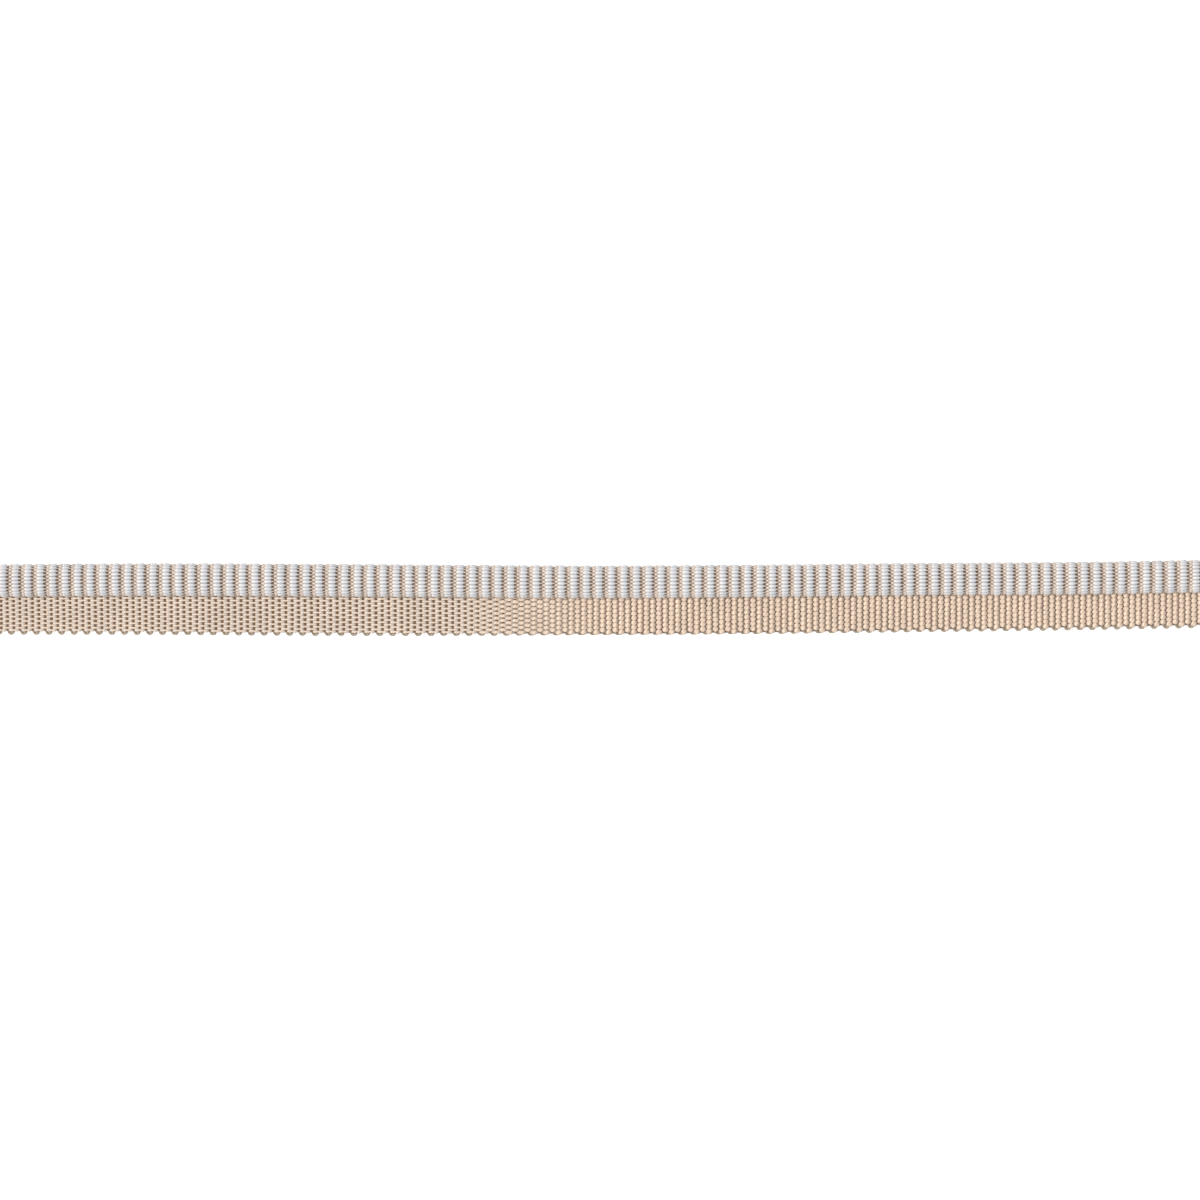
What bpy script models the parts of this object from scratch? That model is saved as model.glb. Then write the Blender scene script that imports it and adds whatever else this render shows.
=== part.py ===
"""Lipped cord trim: a cut length of narrow woven piping, lying flat.

The length runs along X. The round cord lies on the +Y side, its flat ribbed lip on the -Y side,
and both rest on the plane Z = 0. The origin is the middle of the trim, on that plane.
"""

import math
from collections import namedtuple

import bmesh
import bpy

# The repeat of the weave, and the cut length as whole repeats
BAND_PITCH = 0.002095
BANDS = 101
LENGTH = BANDS * BAND_PITCH

# The round cord
CORD_DIAMETER = 0.00545
CORD_SIDES = 12
BAND_SHARE = 0.62  # of the repeat, taken by the raised silvery band
BAND_RISE = 0.00015  # how far a band stands above the column of short floats beside it
PRESSED = 0.00018  # how far the soft cord is pressed flat where it lies
CORD_HEIGHT = CORD_DIAMETER / 2 - PRESSED  # of its axis, above the surface

# The lip
RIB_THICKNESS = 0.0014
VALLEY_THICKNESS = 0.0010
STEPS_PER_BAND = 4  # a valley, a rib, a valley and a rib
LOOP_OUTLINE = (1.0, 0.35, 0.0, 0.35)  # share of a loop's depth that each step stays back
SEAM_GAP = 0.0003  # between the cord and the lip
LIP_PRESSED = 0.00008  # how far the lip is pressed flat where it lies
LIP_HEIGHT = VALLEY_THICKNESS / 2 - LIP_PRESSED  # of the middle of its thickness, where it lies

# How the trim lies, at equal steps along it: the bow of the cord and of the looped edge, the depth of
# the loops, and how far the lip rises from the surface to the cord, less as the trim rolls to the right
Place = namedtuple("Place", "along cord_y edge_y loop_depth lip_rise")
PLACES = (
    Place(along=-0.1060, cord_y=0.00284, edge_y=-0.00619, loop_depth=0.00050, lip_rise=0.00130),
    Place(along=-0.0795, cord_y=0.00303, edge_y=-0.00622, loop_depth=0.00050, lip_rise=0.00122),
    Place(along=-0.0530, cord_y=0.00299, edge_y=-0.00637, loop_depth=0.00045, lip_rise=0.00112),
    Place(along=-0.0265, cord_y=0.00281, edge_y=-0.00640, loop_depth=0.00035, lip_rise=0.00100),
    Place(along=0.0000, cord_y=0.00267, edge_y=-0.00627, loop_depth=0.00020, lip_rise=0.00085),
    Place(along=0.0265, cord_y=0.00283, edge_y=-0.00609, loop_depth=0.00025, lip_rise=0.00068),
    Place(along=0.0530, cord_y=0.00311, edge_y=-0.00579, loop_depth=0.00040, lip_rise=0.00050),
    Place(along=0.0795, cord_y=0.00329, edge_y=-0.00547, loop_depth=0.00050, lip_rise=0.00034),
    Place(along=0.1060, cord_y=0.00368, edge_y=-0.00504, loop_depth=0.00050, lip_rise=0.00022),
)

# The lip's shape across its width, from the cord to the looped edge
Crossing = namedtuple("Crossing", "out rise")
CROSSINGS = (
    Crossing(out=0.00, rise=1.00),
    Crossing(out=0.38, rise=0.42),
    Crossing(out=0.70, rise=0.00),
    Crossing(out=1.00, rise=0.00),
)

CORD_COLOUR = (0.61, 0.54, 0.49, 1.0)
LIP_COLOUR = (0.60, 0.46, 0.36, 1.0)

for old in list(bpy.data.objects):
    bpy.data.objects.remove(old, do_unlink=True)
trim = bpy.data.collections.new("lipped_cord_trim")
bpy.context.scene.collection.children.link(trim)


def at(along, column):
    """One column of PLACES at a distance along the trim, on a smooth curve through its values."""
    step = PLACES[1].along - PLACES[0].along
    position = (along - PLACES[0].along) / step
    first = min(max(math.floor(position), 0), len(PLACES) - 2)
    t = position - first
    before, start, end, after = (
        getattr(PLACES[min(max(first + k, 0), len(PLACES) - 1)], column) for k in (-1, 0, 1, 2)
    )
    bend = 2 * before - 5 * start + 4 * end - after
    twist = 3 * start - before - 3 * end + after
    return start + 0.5 * t * ((end - before) + t * (bend + t * twist))


def cloth_material(name, colour, roughness):
    material = bpy.data.materials.new(name)
    material.use_nodes = True
    shader = material.node_tree.nodes["Principled BSDF"]
    shader.inputs["Base Color"].default_value = colour
    shader.inputs["Roughness"].default_value = roughness
    shader.inputs["Metallic"].default_value = 0.0
    return material


def pressed_flat(source, name, material):
    """The source's evaluated shape as one closed mesh, flat where it lies on Z = 0, in its place."""
    depsgraph = bpy.context.evaluated_depsgraph_get()
    mesh = bpy.data.meshes.new_from_object(source.evaluated_get(depsgraph))
    mesh.name = name
    bpy.data.objects.remove(source)
    shape = bmesh.new()
    shape.from_mesh(mesh)
    bmesh.ops.remove_doubles(shape, verts=shape.verts, dist=1e-6)
    for vertex in shape.verts:
        vertex.co.z = max(vertex.co.z, 0.0)
    bmesh.ops.recalc_face_normals(shape, faces=shape.faces)
    shape.to_mesh(mesh)
    shape.free()
    mesh.materials.clear()
    mesh.materials.append(material)
    mesh.shade_smooth()
    mesh.set_sharp_from_angle(angle=math.radians(40))
    trim.objects.link(bpy.data.objects.new(name, mesh))


def cord_stations():
    """(distance along the trim, radius) at each turn of the cord's outline."""
    crest = CORD_DIAMETER / 2
    for band in range(BANDS):
        start = band * BAND_PITCH - LENGTH / 2
        end = start + BAND_SHARE * BAND_PITCH
        valley = (end + start + BAND_PITCH) / 2
        yield start, crest
        yield end, crest
        yield valley, crest - BAND_RISE
    yield LENGTH / 2, crest


def make_cord():
    """A tube whose radius rises at each band, with flats facing up, down and to both sides."""
    outline = list(cord_stations())
    curve = bpy.data.curves.new("cord_course", "CURVE")
    curve.dimensions = "3D"
    curve.twist_mode = "Z_UP"
    curve.bevel_depth = 1.0
    curve.bevel_resolution = (CORD_SIDES - 4) // 2
    curve.use_fill_caps = True
    course = curve.splines.new("POLY")
    course.points.add(len(outline) - 1)
    half_side = math.pi / CORD_SIDES
    for point, (along, radius) in zip(course.points, outline):
        point.co = (along, at(along, "cord_y"), CORD_HEIGHT, 1.0)
        point.radius = radius / math.cos(half_side)
        point.tilt = half_side
    source = bpy.data.objects.new("cord_course", curve)
    trim.objects.link(source)
    pressed_flat(source, "cord", cloth_material("cord_weave", CORD_COLOUR, 0.55))


def lip_point(along, across, step):
    """The middle of the lip's thickness, for a step along it and a row of CROSSINGS."""
    crossing = CROSSINGS[across]
    rise = at(along, "lip_rise")
    clear_of_cord = CORD_DIAMETER / 2 / math.cos(math.pi / CORD_SIDES) + SEAM_GAP
    top_below_axis = CORD_HEIGHT - (LIP_HEIGHT + rise + RIB_THICKNESS / 2)
    inner_y = at(along, "cord_y") - math.sqrt(clear_of_cord**2 - top_below_axis**2)
    edge_y = at(along, "edge_y")
    if across == len(CROSSINGS) - 1:
        edge_y += LOOP_OUTLINE[step % STEPS_PER_BAND] * at(along, "loop_depth")
    return along, inner_y + crossing.out * (edge_y - inner_y), LIP_HEIGHT + crossing.rise * rise


def make_lip():
    """A sheet laid from the cord down to the surface, thick at each rib and thin in each valley."""
    steps = BANDS * STEPS_PER_BAND
    rows = len(CROSSINGS) - 1
    mesh = bpy.data.meshes.new("lip_sheet")
    source = bpy.data.objects.new("lip_sheet", mesh)
    ribs = source.vertex_groups.new(name="ribs")
    trim.objects.link(source)
    sheet = bmesh.new()
    bmesh.ops.create_grid(sheet, x_segments=steps, y_segments=rows, size=0.5)
    weight = sheet.verts.layers.deform.verify()
    for vertex in sheet.verts:
        step = round((vertex.co.x + 0.5) * steps)
        across = round((0.5 - vertex.co.y) * rows)
        on_rib = step % 2 == 1
        vertex[weight][ribs.index] = 1.0 if on_rib else 0.0
        vertex.co = lip_point(step / steps * LENGTH - LENGTH / 2, across, step)
    sheet.to_mesh(mesh)
    sheet.free()
    thickness = source.modifiers.new("Thickness", "SOLIDIFY")
    thickness.thickness = RIB_THICKNESS
    thickness.offset = 0.0
    thickness.vertex_group = "ribs"
    thickness.thickness_vertex_group = VALLEY_THICKNESS / RIB_THICKNESS
    pressed_flat(source, "lip", cloth_material("lip_weave", LIP_COLOUR, 0.75))


make_cord()
make_lip()
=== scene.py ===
"""A cut length of lipped cord trim, lying flat: a round woven cord with a ribbed lip along one side.

The length runs along X. The cord lies on the +Y side, the lip's looped edge on the -Y side, and both
rest on the plane Z = 0. Lengths are metres unless a name says otherwise.
"""

import math
from collections import namedtuple

import bpy
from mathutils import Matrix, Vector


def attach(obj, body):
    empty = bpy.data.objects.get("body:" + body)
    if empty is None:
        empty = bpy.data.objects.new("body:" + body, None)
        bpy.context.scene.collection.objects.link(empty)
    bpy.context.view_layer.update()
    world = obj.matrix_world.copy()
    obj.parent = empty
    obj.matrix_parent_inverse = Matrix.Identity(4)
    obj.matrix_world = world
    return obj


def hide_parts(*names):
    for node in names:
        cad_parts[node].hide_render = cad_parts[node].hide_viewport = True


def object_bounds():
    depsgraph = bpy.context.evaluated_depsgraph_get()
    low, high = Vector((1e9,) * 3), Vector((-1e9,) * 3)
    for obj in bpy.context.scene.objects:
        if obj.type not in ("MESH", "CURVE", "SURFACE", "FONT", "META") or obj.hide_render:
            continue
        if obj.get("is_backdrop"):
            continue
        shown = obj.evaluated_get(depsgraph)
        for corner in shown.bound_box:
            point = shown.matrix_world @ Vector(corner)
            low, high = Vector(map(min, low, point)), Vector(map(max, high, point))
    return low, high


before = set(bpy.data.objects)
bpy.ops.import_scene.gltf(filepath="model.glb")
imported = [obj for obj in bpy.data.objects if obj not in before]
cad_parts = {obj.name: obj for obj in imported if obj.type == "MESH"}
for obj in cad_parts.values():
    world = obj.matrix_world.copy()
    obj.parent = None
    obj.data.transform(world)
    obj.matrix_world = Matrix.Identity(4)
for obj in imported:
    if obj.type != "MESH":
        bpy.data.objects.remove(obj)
cad_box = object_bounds()


# The camera
# It looks straight down on the trim, whose length runs off both sides of the view.
# A long lens keeps the weave the same size from edge to edge.
VIEW_WIDTH = 0.200
VIEW_CENTRE_Y = -0.000365
VIEWED_HEIGHT = 0.0025  # of the plane where the view is that wide
camera = bpy.data.objects.new("camera", bpy.data.cameras.new("camera"))
camera.data.lens = 300.0
camera.data.sensor_width = 36.0
camera_distance = VIEW_WIDTH * camera.data.lens / camera.data.sensor_width
camera.location = (0.0, VIEW_CENTRE_Y, VIEWED_HEIGHT + camera_distance)
camera.data.clip_start = 0.01
camera.data.clip_end = 20.0
bpy.context.scene.collection.objects.link(camera)
bpy.context.scene.camera = camera


# How the trim lies
# The maker cuts it off a long piece, so it keeps a very gentle bow and rolls a little along its length.
# Each row is one place along it, and every thread below follows the smooth curve through the rows.
BAND_PITCH = 0.002095
BANDS = 101
LENGTH = BANDS * BAND_PITCH
CORD_RADIUS = 0.005450 / 2
CORD_PRESSED = 0.00018  # how far the soft cord is pressed flat where it lies
CORD_HEIGHT = CORD_RADIUS - CORD_PRESSED  # of its axis
LIP_MIDDLE = 0.00056  # height of the middle of the lip's thickness, where it lies flat
LIP_SEATED = 0.0001  # how deep the lip's inner edge lies in the cord's side
Place = namedtuple("Place", "along cord_y edge_y loop_depth lip_rise")
PLACES = (
    Place(along=-0.1060, cord_y=0.00284, edge_y=-0.00619, loop_depth=0.00050, lip_rise=0.00130),
    Place(along=-0.0795, cord_y=0.00303, edge_y=-0.00622, loop_depth=0.00050, lip_rise=0.00122),
    Place(along=-0.0530, cord_y=0.00299, edge_y=-0.00637, loop_depth=0.00045, lip_rise=0.00112),
    Place(along=-0.0265, cord_y=0.00281, edge_y=-0.00640, loop_depth=0.00035, lip_rise=0.00100),
    Place(along=0.0000, cord_y=0.00267, edge_y=-0.00627, loop_depth=0.00020, lip_rise=0.00085),
    Place(along=0.0265, cord_y=0.00283, edge_y=-0.00609, loop_depth=0.00025, lip_rise=0.00068),
    Place(along=0.0530, cord_y=0.00311, edge_y=-0.00579, loop_depth=0.00040, lip_rise=0.00050),
    Place(along=0.0795, cord_y=0.00329, edge_y=-0.00547, loop_depth=0.00050, lip_rise=0.00034),
    Place(along=0.1060, cord_y=0.00368, edge_y=-0.00504, loop_depth=0.00050, lip_rise=0.00022),
)
# The weave isn't quite even: how far along its bands and ribs have moved at each place, in repeats
Drift = namedtuple("Drift", "along bands ribs")
DRIFTS = (
    Drift(along=-0.1060, bands=0.47, ribs=0.34),
    Drift(along=-0.0795, bands=0.385, ribs=0.36),
    Drift(along=-0.0530, bands=0.54, ribs=0.51),
    Drift(along=-0.0265, bands=0.77, ribs=0.79),
    Drift(along=0.0000, bands=0.815, ribs=0.72),
    Drift(along=0.0265, bands=0.61, ribs=0.70),
    Drift(along=0.0530, bands=0.525, ribs=0.66),
    Drift(along=0.0795, bands=0.39, ribs=0.46),
    Drift(along=0.1060, bands=0.23, ribs=0.27),
)
COURSE_STEP = 0.001
SPARE_STEPS = 2  # of the course, past the trim's ends


def at(along, column, table=PLACES):
    """One column of a table at a distance along the trim, on a smooth curve through its values."""
    step = table[1].along - table[0].along
    position = (along - table[0].along) / step
    first = min(max(math.floor(position), 0), len(table) - 2)
    share = position - first
    before, start, end, after = (
        getattr(table[min(max(first + k, 0), len(table) - 1)], column) for k in (-1, 0, 1, 2)
    )
    bend = 2 * before - 5 * start + 4 * end - after
    twist = 3 * start - before - 3 * end + after
    return start + 0.5 * share * ((end - before) + share * (bend + share * twist))


def lip_y(along):
    """Where the middle of the lip's thickness meets the side of the cord."""
    below_axis = CORD_HEIGHT - LIP_MIDDLE - at(along, "lip_rise")
    return at(along, "cord_y") - math.sqrt((CORD_RADIUS - LIP_SEATED) ** 2 - below_axis**2)


def line_mesh(name, points):
    """The points, each joined to the next by an edge."""
    mesh = bpy.data.meshes.new(name)
    mesh.from_pydata(points, [(k, k + 1) for k in range(len(points) - 1)], [])
    return mesh


def give_column(mesh, name, values):
    """Stores one value for each point of the mesh."""
    mesh.attributes.new(name, "FLOAT", "POINT").data.foreach_set("value", list(values))


course_steps = math.ceil(LENGTH / COURSE_STEP) + SPARE_STEPS
course_x = [(k - course_steps / 2) * COURSE_STEP for k in range(course_steps + 1)]
course = bpy.data.objects.new("course", line_mesh("course", [(x, 0.0, 0.0) for x in course_x]))
for column in Place._fields[1:]:
    give_column(course.data, column, (at(x, column) for x in course_x))
for column in Drift._fields[1:]:
    give_column(course.data, column, (at(x, column, DRIFTS) * BAND_PITCH for x in course_x))
give_column(course.data, "lip_y", (lip_y(x) for x in course_x))
bpy.context.scene.collection.objects.link(course)


# Thread
# Every thread of the trim is spun from soft fibres and bends over and under the others.
# One repeat of its line is set end to end along the trim, cut off at both ends and made a closed tube.
SPARE_REPEATS = 2  # at each end, for the drift to move in
SAME_POINT = 1e-6  # the ends of two repeats that are nearer than this are joined
RING_CLOSES = 0.25  # of a turn, more than a corner differs from its face anywhere else
MM_IN_A_METRE = 1000.0


class Tree:
    """A node tree that is built node by node, each from what goes into it."""

    def __init__(self, node_tree):
        self.node_tree = node_tree

    def link(self, value, socket):
        self.node_tree.links.new(value, socket)

    def add(self, kind, *values, settings=None, **named):
        """A node with its settings, and its inputs linked or set, in their order or by name."""
        node = self.node_tree.nodes.new(kind)
        for name, value in (settings or {}).items():
            setattr(node, name, value)
        for key, value in [*enumerate(values), *named.items()]:
            socket = node.inputs[key if isinstance(key, int) else key.replace("_", " ")]
            if isinstance(value, bpy.types.NodeSocket):
                self.link(value, socket)
            else:
                socket.default_value = value
        return node

    def use(self, group, **named):
        """The outputs of a node group placed in this tree."""
        kind = "GeometryNodeGroup" if self.node_tree.type == "GEOMETRY" else "ShaderNodeGroup"
        return self.add(kind, settings={"node_tree": group}, **named).outputs

    def calc(self, operation, *values):
        """The result of one Math node."""
        return self.add("ShaderNodeMath", *values, settings={"operation": operation}).outputs[0]

    def vector(self, *parts):
        return self.add("ShaderNodeCombineXYZ", *parts).outputs[0]

    def parts(self, vector):
        return self.add("ShaderNodeSeparateXYZ", vector).outputs

    def position(self):
        """The x, y and z of each point."""
        return self.parts(self.add("GeometryNodeInputPosition").outputs[0])

    def column(self, name):
        """A value that is stored on the geometry."""
        return self.add("GeometryNodeInputNamedAttribute", Name=name).outputs["Attribute"]

    def store(self, geometry, name, value, domain="POINT", sort="FLOAT"):
        """The geometry with a value stored on it under that name."""
        node = self.add(
            "GeometryNodeStoreNamedAttribute",
            settings={"data_type": sort, "domain": domain},
            Geometry=geometry,
            Name=name,
            Value=value,
        )
        return node.outputs["Geometry"]

    def moved(self, geometry, **where):
        """The geometry set to a Position or moved by an Offset."""
        return self.add("GeometryNodeSetPosition", Geometry=geometry, **where).outputs["Geometry"]

    def realized(self, instances):
        return self.add("GeometryNodeRealizeInstances", instances).outputs["Geometry"]


class Group(Tree):
    """A new node group with its named sockets."""

    def __init__(self, name, kind="GeometryNodeTree", inputs=(), outputs=()):
        super().__init__(bpy.data.node_groups.new(name, kind))
        for side, sockets in (("INPUT", inputs), ("OUTPUT", outputs)):
            for label, sort in sockets:
                self.node_tree.interface.new_socket(label, in_out=side, socket_type="NodeSocket" + sort)
        self.given = self.node_tree.nodes.new("NodeGroupInput").outputs
        self.wanted = self.node_tree.nodes.new("NodeGroupOutput").inputs

    def give(self, value, name):
        self.link(value, self.wanted[name])


def thread_tree():
    """Turns thread lines into closed tubes, with maps of where each spot lies along and round them."""
    tree = Group(
        "thread",
        inputs=(
            ("Line", "Geometry"),
            ("Sides", "Int"),
            ("Flatness", "Float"),
            ("Threads", "Int"),
            ("Longest", "Float"),
        ),
        outputs=(("Thread", "Geometry"),),
    )
    length = tree.add("GeometryNodeSplineParameter").outputs["Length"]
    line = tree.store(tree.given["Line"], "thread_along", length)
    circle = tree.add("GeometryNodeCurvePrimitiveCircle", Resolution=tree.given["Sides"], Radius=1.0)
    turn = tree.add("GeometryNodeSplineParameter").outputs["Factor"]
    circle = tree.store(circle.outputs["Curve"], "thread_around", turn)
    oval = tree.vector(1.0, tree.given["Flatness"], 1.0)
    tube = tree.add(
        "GeometryNodeCurveToMesh",
        Curve=line,
        Profile_Curve=tree.add("GeometryNodeTransform", Geometry=circle, Scale=oval).outputs["Geometry"],
        Scale=tree.calc("DIVIDE", tree.column("width"), 2.0),
        Fill_Caps=True,
    ).outputs["Mesh"]
    # On the faces that close the ring, the turn goes on to 1 and doesn't jump back to 0.
    around = tree.column("thread_around")
    of_face = tree.add("GeometryNodeFieldOnDomain", around, settings={"domain": "FACE"}).outputs[0]
    closing = tree.calc("GREATER_THAN", tree.calc("SUBTRACT", of_face, around), RING_CLOSES)
    around = tree.calc("ADD", around, closing)
    along = tree.column("thread_along")
    thread_map = tree.vector(tree.calc("MULTIPLY", along, MM_IN_A_METRE), around)
    tube = tree.store(tube, "Thread", thread_map, domain="CORNER", sort="FLOAT2")
    strip = tree.calc("DIVIDE", tree.calc("ADD", tree.column("row"), around), tree.given["Threads"])
    bake_map = tree.vector(tree.calc("DIVIDE", along, tree.given["Longest"]), strip)
    tube = tree.store(tube, "OFBake", bake_map, domain="CORNER", sort="FLOAT2")
    tree.give(tube, "Thread")
    return tree.node_tree


def place_tree():
    """The columns of the course at a distance along the trim."""
    columns = (*Place._fields[1:], *Drift._fields[1:], "lip_y")
    tree = Group(
        "place_on_course",
        inputs=(("Course", "Object"), ("Along", "Float")),
        outputs=[(column, "Float") for column in columns],
    )
    info = tree.add("GeometryNodeObjectInfo", Object=tree.given["Course"])
    curve = tree.add("GeometryNodeMeshToCurve", Mesh=info.outputs["Geometry"]).outputs["Curve"]
    distance = tree.calc("SUBTRACT", tree.given["Along"], course_x[0])
    for column in columns:
        sample = tree.add(
            "GeometryNodeSampleCurve",
            settings={"mode": "LENGTH", "data_type": "FLOAT"},
            Curves=curve,
            Value=tree.column(column),
            Length=distance,
        )
        tree.give(sample.outputs["Value"], column)
    return tree.node_tree


def whole_line_tree():
    """One repeat of a line, set end to end along the trim, drifted, and cut off square at both ends."""
    tree = Group(
        "whole_line",
        inputs=(("Repeat", "Geometry"), ("Set On", "Float"), ("Drift", "Float")),
        outputs=(("Line", "Geometry"),),
    )
    first = tree.calc("SUBTRACT", tree.given["Set On"], LENGTH / 2 + SPARE_REPEATS * BAND_PITCH)
    starts = tree.add(
        "GeometryNodeMeshLine",
        settings={"mode": "OFFSET", "count_mode": "TOTAL"},
        Count=BANDS + 2 * SPARE_REPEATS,
        Start_Location=tree.vector(first),
        Offset=(BAND_PITCH, 0.0, 0.0),
    ).outputs["Mesh"]
    copies = tree.add("GeometryNodeInstanceOnPoints", Points=starts, Instance=tree.given["Repeat"])
    line = tree.realized(copies.outputs["Instances"])
    line = tree.add("GeometryNodeMergeByDistance", Geometry=line, Distance=SAME_POINT).outputs["Geometry"]
    line = tree.moved(line, Offset=tree.vector(tree.given["Drift"]))
    past_end = tree.calc("GREATER_THAN", tree.calc("ABSOLUTE", tree.position()[0]), LENGTH / 2)
    line = tree.add("GeometryNodeDeleteGeometry", Geometry=line, Selection=past_end).outputs["Geometry"]
    tree.give(tree.add("GeometryNodeMeshToCurve", Mesh=line).outputs["Curve"], "Line")
    return tree.node_tree


THREAD = thread_tree()
PLACE = place_tree()
WHOLE_LINE = whole_line_tree()


def threads_tree(name, drift, *own_inputs):
    """A new tree for one set of threads, with its line, where that is along, and its place there."""
    tree = Group(
        name,
        inputs=(
            ("Geometry", "Geometry"),
            ("Course", "Object"),
            ("Material", "Material"),
            ("Set On", "Float"),
            ("Sides", "Int"),
            ("Flatness", "Float"),
            ("Unevenness", "Float"),
            ("Seed", "Int"),
            *own_inputs,
        ),
        outputs=(("Geometry", "Geometry"),),
    )
    local = tree.position()
    place = tree.use(PLACE, Course=tree.given["Course"], Along=local[0])
    line = tree.use(
        WHOLE_LINE,
        Repeat=tree.given["Geometry"],
        Set_On=tree.given["Set On"],
        Drift=place[drift],
    )["Line"]
    return tree, line, local, place


def side_by_side(tree, line):
    """As many copies of the line as there are rows, each with its row stored on it."""
    rows = tree.add(
        "GeometryNodeMeshLine",
        settings={"mode": "OFFSET", "count_mode": "TOTAL"},
        Count=tree.given["Rows"],
        Offset=(0.0, 0.0, 0.0),
    ).outputs["Mesh"]
    copies = tree.add("GeometryNodeInstanceOnPoints", Points=rows, Instance=line).outputs["Instances"]
    row = tree.add("GeometryNodeInputIndex").outputs["Index"]
    return tree.realized(tree.store(copies, "row", row, domain="INSTANCE"))


def straying(tree, along, across):
    """How far a thread strays from its line, along it and across it."""
    noise = tree.add(
        "ShaderNodeTexNoise",
        settings={"noise_dimensions": "4D"},
        Vector=tree.vector(along, across),
        W=tree.given["Seed"],
        Scale=1.0,
        Detail=1.0,
    )
    return [
        tree.calc("MULTIPLY", tree.calc("SUBTRACT", value, 0.5), tree.given["Unevenness"])
        for value in tree.parts(noise.outputs["Color"])[:2]
    ]


def finish_threads(tree, lines, positions, tilt, threads, longest):
    """Sets the lines to their positions and gives them out as threads, pressed flat where they lie."""
    lines = tree.moved(lines, Position=positions)
    lines = tree.add("GeometryNodeSetCurveNormal", settings={"mode": "Z_UP"}, Curve=lines).outputs["Curve"]
    lines = tree.add("GeometryNodeSetCurveTilt", Curve=lines, Tilt=tilt).outputs["Curve"]
    tubes = tree.use(
        THREAD,
        Line=lines,
        Sides=tree.given["Sides"],
        Flatness=tree.given["Flatness"],
        Threads=threads,
        Longest=longest,
    )["Thread"]
    x, y, z = tree.position()
    tubes = tree.moved(tubes, Position=tree.vector(x, y, tree.calc("MAXIMUM", z, 0.0)))
    tubes = tree.realized(tubes)
    dyed = tree.add("GeometryNodeSetMaterial", Geometry=tubes, Material=tree.given["Material"])
    tree.give(dyed.outputs["Geometry"], "Geometry")


def woven(name, node_tree, repeat, material, **inputs):
    """One repeat of a thread's line, grown by the tree into a plain mesh of all its threads."""
    mesh = line_mesh(name + "_repeat", [(bend.along, bend.across, bend.height) for bend in repeat])
    for column in repeat[0]._fields[3:]:
        give_column(mesh, column, (getattr(bend, column) for bend in repeat))
    source = bpy.data.objects.new(name + "_repeat", mesh)
    bpy.context.scene.collection.objects.link(source)
    modifier = source.modifiers.new("Weave", "NODES")
    modifier.node_group = node_tree
    inputs |= {"Course": course, "Material": material}
    for socket in node_tree.interface.items_tree:
        if socket.in_out == "INPUT" and socket.name.replace(" ", "_") in inputs:
            modifier[socket.identifier] = inputs[socket.name.replace(" ", "_")]
    depsgraph = bpy.context.evaluated_depsgraph_get()
    grown = bpy.data.meshes.new_from_object(source.evaluated_get(depsgraph))
    bpy.data.objects.remove(source)
    grown.name = name
    piece = bpy.data.objects.new(name, grown)
    bpy.context.scene.collection.objects.link(piece)
    return piece


# The cord's ground
# The close inner weave of the round cord, which shows as the dark spots between the threads on it. Its dark
# brown is painted shade: the weft's colour as it looks in shade, deep between the threads.
# It is woven round the cord with the same weft as the lip, and cut square at both ends.
GROUND_RADIUS = 0.00242
GROUND_SIDES = 24
GROUND_STEP = 0.002
ground_steps = round(LENGTH / GROUND_STEP)
ground_x = [(k / ground_steps - 0.5) * LENGTH for k in range(ground_steps + 1)]
cord_path = [(x, at(x, "cord_y"), CORD_HEIGHT) for x in ground_x]

ground_line = bpy.data.curves.new("cord_ground", "CURVE")
ground_line.dimensions = "3D"
ground_line.twist_mode = "Z_UP"
ground_line.bevel_depth = GROUND_RADIUS
ground_line.bevel_resolution = (GROUND_SIDES - 4) // 2
ground_line.use_fill_caps = True
ground_course = ground_line.splines.new("POLY")
ground_course.points.add(len(cord_path) - 1)
for point, place in zip(ground_course.points, cord_path):
    point.co = (*place, 1.0)
cord_ground = bpy.data.objects.new("cord_ground", ground_line)
bpy.context.scene.collection.objects.link(cord_ground)


def patches_tree():
    """Soft patches where the dye took more or less, as a factor round one."""
    tree = Group("dye_patches", "ShaderNodeTree", (("Amount", "Float"),), (("Factor", "Float"),))
    noise = tree.add(
        "ShaderNodeTexNoise",
        Vector=tree.add("ShaderNodeTexCoord").outputs["Object"],
        Scale=260.0,
        Detail=3.0,
        Roughness=0.6,
    ).outputs["Fac"]
    swing = tree.calc("MULTIPLY", tree.calc("SUBTRACT", noise, 0.5), tree.given["Amount"])
    tree.give(tree.calc("ADD", swing, 1.0), "Factor")
    return tree.node_tree


PATCHES = patches_tree()


def new_look(name):
    """A new material, its node tree ready for adding to, and its shader."""
    material = bpy.data.materials.new(name)
    material.use_nodes = True
    return material, Tree(material.node_tree), material.node_tree.nodes["Principled BSDF"]


ground_yarn, look, shader = new_look("ground_yarn")
spot = look.add("ShaderNodeTexCoord").outputs["Object"]
weave = look.add(
    "ShaderNodeTexWave",
    settings={"bands_direction": "X"},
    Vector=spot,
    Scale=300.0,
    Distortion=2.0,
    Detail=2.0,
).outputs["Fac"]
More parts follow.
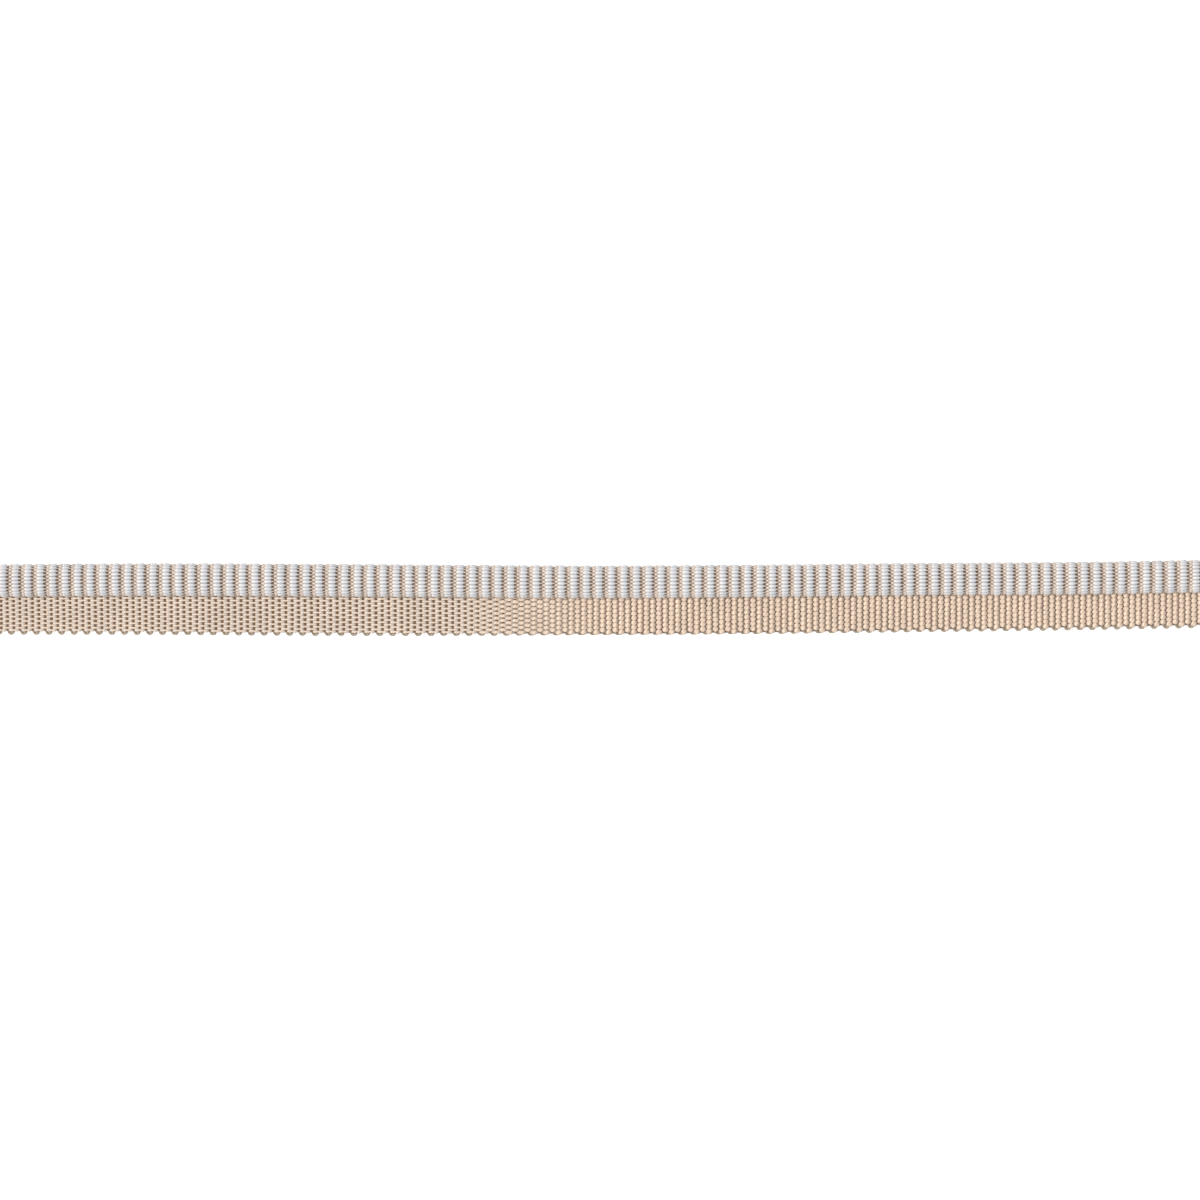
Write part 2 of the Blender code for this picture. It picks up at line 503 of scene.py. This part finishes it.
# Its yarns show as small rounds where the cord is cut
cut_yarns = look.add("ShaderNodeTexVoronoi", Vector=spot, Scale=3200.0).outputs["Distance"]
relief = look.calc("SUBTRACT", weave, cut_yarns)
# Painted shade: both browns are the weft's colour as it looks in the shade deep between the cord's threads
brown = look.add(
    "ShaderNodeMix",
    settings={"data_type": "RGBA"},
    Factor=look.calc("ADD", relief, 0.5),
    A=(0.150, 0.092, 0.057, 1.0),
    B=(0.235, 0.150, 0.098, 1.0),
).outputs["Result"]
patch = look.use(PATCHES, Amount=0.7)["Factor"]
brown = look.add("ShaderNodeHueSaturation", Value=patch, Color=brown).outputs["Color"]
look.link(brown, shader.inputs["Base Color"])
bump = look.add("ShaderNodeBump", Strength=0.6, Distance=0.00006, Height=relief)
look.link(bump.outputs["Normal"], shader.inputs["Normal"])
shader.inputs["Roughness"].default_value = 0.9
ground_line.materials.append(ground_yarn)
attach(cord_ground, "root")
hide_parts("cord")


# The warps of the cord
# Silky silvery warps lie side by side round the cord, each over the weft for a long float and then
# under it. Between them as many beige cotton warps come up where the silvery ones go under.
WARP_ROWS = 28
BANDS_SET_ON = -0.58 * BAND_PITCH  # of a float's blunt end, from the middle of the dark notches
SPREAD = 0.20  # radians that the rows on the cord's sides have moved down, as it lies pressed
WARPS_STRAY = 0.00010
STRAYS_PER_METRE = 400.0  # how often a warp's straying changes along it
ROWS_APART = 7.3  # how far the rows are apart in that pattern, so that each strays in its own way
STRAYS_OUT = 0.5  # of what it strays along, how far a warp strays out from the ring
LONGEST_WARP = 1.2 * LENGTH  # with all its bends, for its map
Bend = namedtuple("Bend", "along across height width shade tint")


def warp(*bends):
    """One repeat of a warp: share of the repeat, then height and width in millimetres, and its looks.

    The shade is painted shade, how dark it lies deep among the others, the tint how far it takes on its
    second colour.
    """
    return [
        Bend(along * BAND_PITCH, 0.0, height / MM_IN_A_METRE, width / MM_IN_A_METRE, shade, tint)
        for along, height, width, shade, tint in bends
    ]


def rows_round_cord_tree():
    """Rows of a warp set side by side round the cord."""
    tree, line, local, place = threads_tree(
        "rows_round_cord", "bands", ("Ring Radius", "Float"), ("First Row", "Float"), ("Rows", "Int")
    )
    lines = side_by_side(tree, line)
    row = tree.column("row")
    # Where the rows have moved down, the ones above the axis are wider and the ones below it narrower
    angle = tree.calc("MULTIPLY", tree.calc("ADD", row, tree.given["First Row"]), 2 * math.pi / WARP_ROWS)
    sine = tree.calc("SINE", angle)
    side = tree.calc("MULTIPLY", tree.calc("ABSOLUTE", sine), SPREAD)
    wider = tree.calc("MULTIPLY_ADD", tree.calc("MULTIPLY", side, 2.0), tree.calc("COSINE", angle), 1.0)
    lines = tree.store(lines, "width", tree.calc("MULTIPLY", tree.column("width"), wider))
    angle = tree.calc("MULTIPLY_ADD", side, sine, angle)
    forth, out = straying(
        tree, tree.calc("MULTIPLY", local[0], STRAYS_PER_METRE), tree.calc("MULTIPLY", row, ROWS_APART)
    )
    out = tree.calc("MULTIPLY", out, STRAYS_OUT)
    radius = tree.calc("ADD", tree.calc("ADD", tree.given["Ring Radius"], local[2]), out)
    x = tree.calc("ADD", local[0], forth)
    y = tree.calc("ADD", place["cord_y"], tree.calc("MULTIPLY", radius, tree.calc("SINE", angle)))
    z = tree.calc("ADD", CORD_HEIGHT, tree.calc("MULTIPLY", radius, tree.calc("COSINE", angle)))
    tilt = tree.calc("MULTIPLY", angle, -1.0)
    finish_threads(tree, lines, tree.vector(x, y, z), tilt, tree.given["Rows"], LONGEST_WARP)
    return tree.node_tree


def spun_tree():
    """The look of spun thread from its map: twisted plies, fibres along them, and the shade painted where
    it lies deep and on its flanks.
    """
    ply_relief = 0.6
    fibre_relief = 0.8
    fibres_per_mm = 0.7
    rows_apart = 5.7
    tree = Group(
        "spun_thread",
        "ShaderNodeTree",
        inputs=(
            ("Colour", "Color"),
            ("Second Colour", "Color"),
            ("Deep Colour", "Color"),
            ("Plies", "Float"),
            ("Twist", "Float"),
            ("Strands", "Float"),
            ("Contrast", "Float"),
            ("Grooves", "Float"),
            ("Patchiness", "Float"),
        ),
        outputs=(("Colour", "Color"), ("Height", "Float")),
    )
    along, around = tree.parts(tree.add("ShaderNodeUVMap", settings={"uv_map": "Thread"}).outputs["UV"])[:2]
    row, tint, shade = (
        tree.add("ShaderNodeAttribute", settings={"attribute_name": name}).outputs["Fac"]
        for name in ("row", "tint", "shade")
    )
    turned = tree.calc("MULTIPLY_ADD", along, tree.given["Twist"], around)
    angle = tree.calc("MULTIPLY", turned, 2 * math.pi)
    ply = tree.calc("COSINE", tree.calc("MULTIPLY", angle, tree.given["Plies"]))
    ply = tree.calc("MULTIPLY_ADD", ply, 0.5, 0.5)
    fibres = tree.add(
        "ShaderNodeTexNoise",
        settings={"noise_dimensions": "4D"},
        Vector=tree.vector(
            tree.calc("MULTIPLY", along, fibres_per_mm),
            tree.calc("MULTIPLY", tree.calc("COSINE", angle), tree.given["Strands"]),
            tree.calc("MULTIPLY", tree.calc("SINE", angle), tree.given["Strands"]),
        ),
        W=tree.calc("MULTIPLY", row, rows_apart),
        Scale=1.0,
        Detail=2.0,
    ).outputs["Fac"]
    height = tree.calc(
        "ADD", tree.calc("MULTIPLY", ply, ply_relief), tree.calc("MULTIPLY", fibres, fibre_relief)
    )
    tree.give(height, "Height")
    colour = tree.add(
        "ShaderNodeMix",
        settings={"data_type": "RGBA"},
        Factor=tint,
        A=tree.given["Colour"],
        B=tree.given["Second Colour"],
    ).outputs["Result"]
    mean_height = (ply_relief + fibre_relief) / 2
    swing = tree.calc("MULTIPLY", tree.calc("SUBTRACT", height, mean_height), tree.given["Contrast"])
    patch = tree.use(PATCHES, Amount=tree.given["Patchiness"])["Factor"]
    # Less light reaches the flanks, where threads lie side by side
    flank = tree.calc("ABSOLUTE", tree.calc("SINE", tree.calc("MULTIPLY", around, 2 * math.pi)))
    flank = tree.calc("MULTIPLY", tree.calc("SUBTRACT", 1.0, flank), tree.given["Grooves"])
    value = tree.calc("SUBTRACT", tree.calc("ADD", swing, patch), flank)
    colour = tree.add("ShaderNodeHueSaturation", Value=value, Color=colour).outputs["Color"]
    # Painted shade: the colour goes towards the dark shade colour as far as the thread's shade column says,
    # where it lies deep
    colour = tree.add(
        "ShaderNodeMix",
        settings={"data_type": "RGBA"},
        Factor=shade,
        A=colour,
        B=tree.given["Deep Colour"],
    ).outputs["Result"]
    tree.give(colour, "Colour")
    return tree.node_tree


SPUN = spun_tree()


def spun_yarn(name, roughness, sheen, bump, **looks):
    """A material of spun thread, with the values of its looks."""
    material, look, shader = new_look(name)
    spun = look.use(SPUN, **looks)
    look.link(spun["Colour"], shader.inputs["Base Color"])
    relief = look.add("ShaderNodeBump", Strength=bump, Distance=0.00003, Height=spun["Height"])
    look.link(relief.outputs["Normal"], shader.inputs["Normal"])
    shader.inputs["Roughness"].default_value = roughness
    shader.inputs["Sheen Weight"].default_value = sheen
    shader.inputs["Sheen Roughness"].default_value = 0.5
    return material


silky_yarn = spun_yarn(
    "silky_yarn",
    roughness=0.42,
    sheen=0.10,
    bump=0.35,
    Colour=(0.63, 0.64, 0.665, 1.0),
    Second_Colour=(0.78, 0.69, 0.61, 1.0),
    Deep_Colour=(0.30, 0.20, 0.135, 1.0),
    Plies=0.0,
    Twist=0.06,
    Strands=4.5,
    Contrast=0.30,
    Grooves=0.68,
    Patchiness=0.20,
)
beige_yarn = spun_yarn(
    "beige_yarn",
    roughness=0.75,
    sheen=0.15,
    bump=0.6,
    Colour=(0.69, 0.575, 0.49, 1.0),
    Second_Colour=(0.73, 0.64, 0.57, 1.0),
    Deep_Colour=(0.30, 0.19, 0.125, 1.0),
    Plies=2.0,
    Twist=0.9,
    Strands=3.0,
    Contrast=0.40,
    Grooves=0.50,
    Patchiness=0.30,
)
# In both tables the shade is painted shade, where the warp dives under the others
SILKY_FLOAT = warp(
    (0.00, 0.03, 0.62, 0.00, 0.55),
    (0.12, 0.04, 0.66, 0.00, 0.10),
    (0.38, 0.03, 0.65, 0.00, 0.00),
    (0.46, 0.02, 0.38, 0.00, 0.40),
    (0.53, 0.01, 0.21, 0.00, 1.00),
    (0.70, -0.02, 0.14, 0.10, 1.00),
    (0.76, -0.30, 0.13, 1.00, 1.00),
    (0.92, -0.06, 0.44, 0.20, 1.00),
    (1.00, 0.03, 0.62, 0.00, 0.55),
)
BEIGE_BEAD = warp(
    (0.00, -0.22, 0.34, 0.60, 1.00),
    (0.06, -0.26, 0.26, 1.00, 0.00),
    (0.66, -0.30, 0.22, 1.00, 0.00),
    (0.71, -0.08, 0.40, 0.45, 0.00),
    (0.77, 0.03, 0.50, 0.05, 0.00),
    (0.86, 0.03, 0.52, 0.00, 0.50),
    (1.00, -0.22, 0.34, 0.60, 1.00),
)
Warps = namedtuple("Warps", "kind repeat yarn sides ring_radius flatness between")
rows_round_cord = rows_round_cord_tree()
cord_pieces = []
for side, first_row in (("upper", 0.5 - WARP_ROWS / 4), ("lower", 0.5 + WARP_ROWS / 4)):
    for warps in (
        Warps("silvery", SILKY_FLOAT, silky_yarn, sides=8, ring_radius=0.00246, flatness=0.75, between=0),
        Warps("beige", BEIGE_BEAD, beige_yarn, sides=6, ring_radius=0.00245, flatness=0.92, between=0.5),
    ):
        piece = woven(
            f"cord_{warps.kind}_warps_{side}",
            rows_round_cord,
            warps.repeat,
            warps.yarn,
            Set_On=BANDS_SET_ON,
            Ring_Radius=warps.ring_radius,
            First_Row=first_row + warps.between,
            Rows=WARP_ROWS // 2,
            Sides=warps.sides,
            Flatness=warps.flatness,
            Unevenness=WARPS_STRAY,
            Seed=len(cord_pieces),
        )
        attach(piece, "root")
        cord_pieces.append(piece)


# The lip's threads
# The lip is a close plain weave: sixteen beige cotton warps go over one rib of weft and under the next.
# The weft is a thick soft thread, out across the lip and back, with a small loop at the free edge.
LIP_ROWS = 16
WEFT_WIDTH = 0.00056
LOOP_WIDTH = 0.00050
MARGIN = 0.00015  # between the last warp's middle and the root of the loops
TURNS_INSIDE = 0.0015  # how deep the weft's inner turns lie in the cord
LIP_WARPS_STRAY = 0.00016
WEFT_STRAYS = 0.00005
LIP_STRAYS_PER_METRE = 700.0
LIP_STRAYS_ACROSS = 31.7  # how often it changes across the lip's width
LIP_WARPS_SEED = 11
WEFT_SEED = 21
LONGEST_WEFT = 2.0  # with all its turns, for its map
DRAWN_SMALLER = 1000.0  # how many times smaller the weft's place across the lip is drawn in its line
# The lip's height across its width, as a share of its rise: from the cord's side to the loops
LIP_FALL = ((0.0, 1.0), (0.38, 0.42), (0.70, 0.02), (1.0, 0.0))
# Its threads are stretched and open on the left, and full where it lies flat on the right
STRETCHED_UP_TO_X = -0.024
FULL_FROM_X = 0.006
CORD_SHADE = 0.60  # painted shade on the lip right beside the cord, where the cord shades it
CORD_SHADE_WIDTH = 0.09  # as a share of the lip's width


def finish_lip(tree, lines, local, place, across, height, threads, longest):
    """Lays the lines on the lip and gives them out as threads.

    Across the lip, -1 is inside the cord, 0 at its side, 1 at the root of the loops and 2 at their tips.
    """
    forth, out = straying(
        tree,
        tree.calc("MULTIPLY", local[0], LIP_STRAYS_PER_METRE),
        tree.calc("MULTIPLY", across, LIP_STRAYS_ACROSS),
    )
    inside = tree.calc("MAXIMUM", tree.calc("MULTIPLY", across, -1.0), 0.0)
    beyond = tree.calc("MAXIMUM", tree.calc("SUBTRACT", across, 1.0), 0.0)
    share = tree.add("ShaderNodeClamp", across).outputs[0]
    last_warp = tree.calc("ADD", tree.calc("ADD", place["edge_y"], place["loop_depth"]), MARGIN)
    y = tree.add("ShaderNodeMapRange", share, 0.0, 1.0, place["lip_y"], last_warp).outputs[0]
    y = tree.calc("ADD", y, tree.calc("MULTIPLY", inside, TURNS_INSIDE))
    loop = tree.calc("SUBTRACT", tree.calc("ADD", place["loop_depth"], MARGIN), LOOP_WIDTH / 2)
    y = tree.calc("SUBTRACT", y, tree.calc("MULTIPLY", beyond, loop))
    fall = tree.add("ShaderNodeFloatCurve", Factor=1.0, Value=share)
    points = fall.mapping.curves[0].points
    points[0].location = LIP_FALL[0]
    points[1].location = LIP_FALL[-1]
    for point in LIP_FALL[1:-1]:
        points.new(*point)
    fall.mapping.update()
    z = tree.calc("ADD", LIP_MIDDLE, tree.calc("MULTIPLY", fall.outputs[0], place["lip_rise"]))
    z = tree.calc("SUBTRACT", z, tree.calc("MULTIPLY", beyond, LIP_MIDDLE - LOOP_WIDTH / 2))
    z = tree.calc("ADD", z, height)
    positions = tree.vector(tree.calc("ADD", local[0], forth), tree.calc("ADD", y, out), z)
    finish_threads(tree, lines, positions, 0.0, threads, longest)
    return tree.node_tree


def lip_warps_tree():
    """Every second warp of the lip, full on the right and stretched on the left."""
    tree, line, local, place = threads_tree("lip_warps", "ribs", ("First Row", "Int"), ("Rows", "Int"))
    lines = side_by_side(tree, line)
    stretch = tree.add("ShaderNodeMapRange", local[0], STRETCHED_UP_TO_X, FULL_FROM_X, 1.0, 0.0).outputs[0]

    def stretched(full, name, share):
        change = tree.calc("SUBTRACT", tree.column(name), full)
        return tree.calc("MULTIPLY_ADD", change, share, full)

    height = stretched(local[2], "stretched_height", stretch)
    # The threads narrow after they have risen
    narrowing = tree.calc("MULTIPLY", stretch, stretch)
    width = stretched(tree.column("width"), "stretched_width", narrowing)
    shade = stretched(tree.column("shade"), "stretched_shade", stretch)
    row = tree.calc("ADD", tree.calc("MULTIPLY", tree.column("row"), 2.0), tree.given["First Row"])
    across = tree.calc("DIVIDE", tree.calc("ADD", row, 0.5), LIP_ROWS)
    # Painted shade of the cord on the lip's first rows
    painted_cord_shade = tree.add("ShaderNodeMapRange", across, 0.0, CORD_SHADE_WIDTH, CORD_SHADE, 0.0).outputs[0]
    lines = tree.store(lines, "width", width)
    lines = tree.store(lines, "shade", tree.calc("MAXIMUM", shade, painted_cord_shade))
    return finish_lip(tree, lines, local, place, across, height, tree.given["Rows"], LONGEST_WARP)


def lip_weft_tree():
    """The weft, out and back through the lip, its place across it read from how its line is drawn."""
    tree, line, local, place = threads_tree("lip_weft", "ribs")
    line = tree.store(line, "row", 0.0)
    line = tree.store(line, "across", tree.calc("MULTIPLY", local[1], DRAWN_SMALLER))
    return finish_lip(tree, line, local, place, tree.column("across"), local[2], 1, LONGEST_WEFT)


LipBend = namedtuple(
    "LipBend", (*Bend._fields, "stretched_height", "stretched_width", "stretched_shade")
)


def over_and_under():
    """One repeat of a lip warp, over one rib and under the next, full and then stretched."""
    # The shade (full) and dark (stretched) columns are painted shade, where the warp dives into the valleys
    # and under the ribs
    for along, height, width, shade, tint, low, narrow, dark in (
        (0.000, 0.42, 0.95, 0.00, 0.0, 0.40, 0.28, 0.00),
        (0.125, 0.38, 0.84, 0.15, 0.1, 0.40, 0.40, 0.00),
        (0.245, 0.12, 0.50, 0.90, 1.0, 0.36, 0.48, 0.00),
        (0.375, -0.25, 0.50, 0.90, 0.8, 0.26, 0.40, 0.10),
        (0.420, -0.36, 0.50, 0.60, 0.5, -0.10, 0.30, 0.80),
        (0.500, -0.42, 0.60, 0.50, 0.0, -0.42, 0.44, 1.00),
        (0.580, -0.36, 0.50, 0.60, 0.5, -0.10, 0.30, 0.80),
        (0.625, -0.25, 0.50, 0.90, 0.8, 0.26, 0.40, 0.10),
        (0.755, 0.12, 0.50, 0.80, 1.0, 0.36, 0.48, 0.00),
        (0.875, 0.38, 0.84, 0.10, 0.1, 0.40, 0.40, 0.00),
        (1.000, 0.42, 0.95, 0.00, 0.0, 0.40, 0.28, 0.00),
    ):
        yield LipBend(
            along=along * BAND_PITCH,
            across=0.0,
            height=height / MM_IN_A_METRE,
            width=width / MM_IN_A_METRE,
            shade=shade,
            tint=tint,
            stretched_height=low / MM_IN_A_METRE,
            stretched_width=narrow / MM_IN_A_METRE,
            stretched_shade=dark,
        )


def out_and_back():
    """One repeat of the weft: out along a rib, round its loop and back along the next, turned inside."""
    # The shade is painted shade: dark where the weft lies deep in the lip and in the cord, lighter out on
    # the loops
    for along, across, width, shade in (
        (-0.25, -1.00, WEFT_WIDTH, 1.0),
        (-0.07, -1.00, WEFT_WIDTH, 1.0),
        (0.00, -0.80, WEFT_WIDTH, 1.0),
        (0.00, 0.20, WEFT_WIDTH, 1.0),
        (0.00, 0.50, WEFT_WIDTH, 1.0),
        (0.00, 0.80, WEFT_WIDTH, 1.0),
        (0.05, 0.96, WEFT_WIDTH, 0.9),
        (0.09, 1.25, LOOP_WIDTH, 0.3),
        (0.11, 1.65, LOOP_WIDTH, 0.1),
        (0.17, 1.94, LOOP_WIDTH, 0.0),
        (0.25, 2.00, LOOP_WIDTH, 0.0),
        (0.33, 1.94, LOOP_WIDTH, 0.0),
        (0.39, 1.65, LOOP_WIDTH, 0.1),
        (0.41, 1.25, LOOP_WIDTH, 0.3),
        (0.45, 0.96, WEFT_WIDTH, 0.9),
        (0.50, 0.80, WEFT_WIDTH, 1.0),
        (0.50, 0.50, WEFT_WIDTH, 1.0),
        (0.50, 0.20, WEFT_WIDTH, 1.0),
        (0.50, -0.80, WEFT_WIDTH, 1.0),
        (0.57, -1.00, WEFT_WIDTH, 1.0),
        (0.75, -1.00, WEFT_WIDTH, 1.0),
    ):
        yield Bend(along * BAND_PITCH, across / DRAWN_SMALLER, 0.0, width, shade, 0.0)


lip_yarn = spun_yarn(
    "lip_yarn",
    roughness=0.75,
    sheen=0.15,
    bump=0.6,
    Colour=(0.75, 0.585, 0.45, 1.0),
    Second_Colour=(0.66, 0.575, 0.50, 1.0),
    Deep_Colour=(0.21, 0.125, 0.075, 1.0),
    Plies=2.0,
    Twist=0.9,
    Strands=3.0,
    Contrast=0.50,
    Grooves=0.15,
    Patchiness=0.25,
)
weft_yarn = spun_yarn(
    "weft_yarn",
    roughness=0.8,
    sheen=0.10,
    bump=0.6,
    Colour=(0.40, 0.33, 0.245, 1.0),
    Second_Colour=(0.40, 0.33, 0.245, 1.0),
    Deep_Colour=(0.155, 0.088, 0.048, 1.0),
    Plies=2.0,
    Twist=0.7,
    Strands=3.0,
    Contrast=0.35,
    Grooves=0.0,
    Patchiness=0.25,
)
lip_warps = lip_warps_tree()
lip_pieces = []
for kind, first_row, between in (("even", 0, 0.0), ("odd", 1, 0.5)):
    piece = woven(
        f"lip_warps_{kind}",
        lip_warps,
        list(over_and_under()),
        lip_yarn,
        Set_On=between * BAND_PITCH,
        First_Row=first_row,
        Rows=LIP_ROWS // 2,
        Sides=8,
        Flatness=0.50,
        Unevenness=LIP_WARPS_STRAY,
        Seed=LIP_WARPS_SEED + first_row,
    )
    lip_pieces.append(piece)
weft = woven(
    "lip_weft",
    lip_weft_tree(),
    list(out_and_back()),
    weft_yarn,
    Set_On=0.0,
    Sides=8,
    Flatness=1.0,
    Unevenness=WEFT_STRAYS,
    Seed=WEFT_SEED,
)
lip_pieces.append(weft)
for piece in lip_pieces:
    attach(piece, "root")
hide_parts("lip")


# The surface that the trim lies on and the light
# A plain pale board that shows white, with one broad lamp from the left and a soft one above.
FLOOR_REACH = 3.0
FLOOR_HEIGHT = -1e-5  # just under the trim
floor_corners = [
    (-FLOOR_REACH, -FLOOR_REACH, FLOOR_HEIGHT),
    (FLOOR_REACH, -FLOOR_REACH, FLOOR_HEIGHT),
    (FLOOR_REACH, FLOOR_REACH, FLOOR_HEIGHT),
    (-FLOOR_REACH, FLOOR_REACH, FLOOR_HEIGHT),
]
floor_mesh = bpy.data.meshes.new("floor")
floor_mesh.from_pydata(floor_corners, [], [(0, 1, 2, 3)])
floor = bpy.data.objects.new("floor", floor_mesh)
bpy.context.scene.collection.objects.link(floor)
floor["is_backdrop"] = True
floor_paint, look, shader = new_look("floor_white")
shader.inputs["Base Color"].default_value = (0.9, 0.9, 0.9, 1.0)
shader.inputs["Roughness"].default_value = 0.8
shader.inputs["Emission Color"].default_value = (1.0, 1.0, 1.0, 1.0)
shader.inputs["Emission Strength"].default_value = 0.4
floor_mesh.materials.append(floor_paint)

world = bpy.data.worlds.new("studio")
world.use_nodes = True
world.node_tree.nodes["Background"].inputs["Color"].default_value = (1.0, 1.0, 1.0, 1.0)
world.node_tree.nodes["Background"].inputs["Strength"].default_value = 0.38
bpy.context.scene.world = world
bpy.context.scene.view_settings.view_transform = "Standard"
for name, energy, spread_deg, lean_deg in (("key_light", 2.2, 16, -50), ("top_light", 1.2, 40, 0)):
    lamp = bpy.data.objects.new(name, bpy.data.lights.new(name, "SUN"))
    lamp.data.energy = energy
    lamp.data.angle = math.radians(spread_deg)
    lamp.rotation_euler = (0.0, math.radians(lean_deg), 0.0)
    bpy.context.scene.collection.objects.link(lamp)


# The whole trim
# All the threads are woven to the cord and follow its bow. It is cut square at both ends. Here the helper
# course is removed and the sizes of the parts and of the threads are measured.
bpy.data.objects.remove(course)
sizes = {"cad": cad_box, "visual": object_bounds()}
sizes = {name: [list(map(float, corner)) for corner in box] for name, box in sizes.items()}
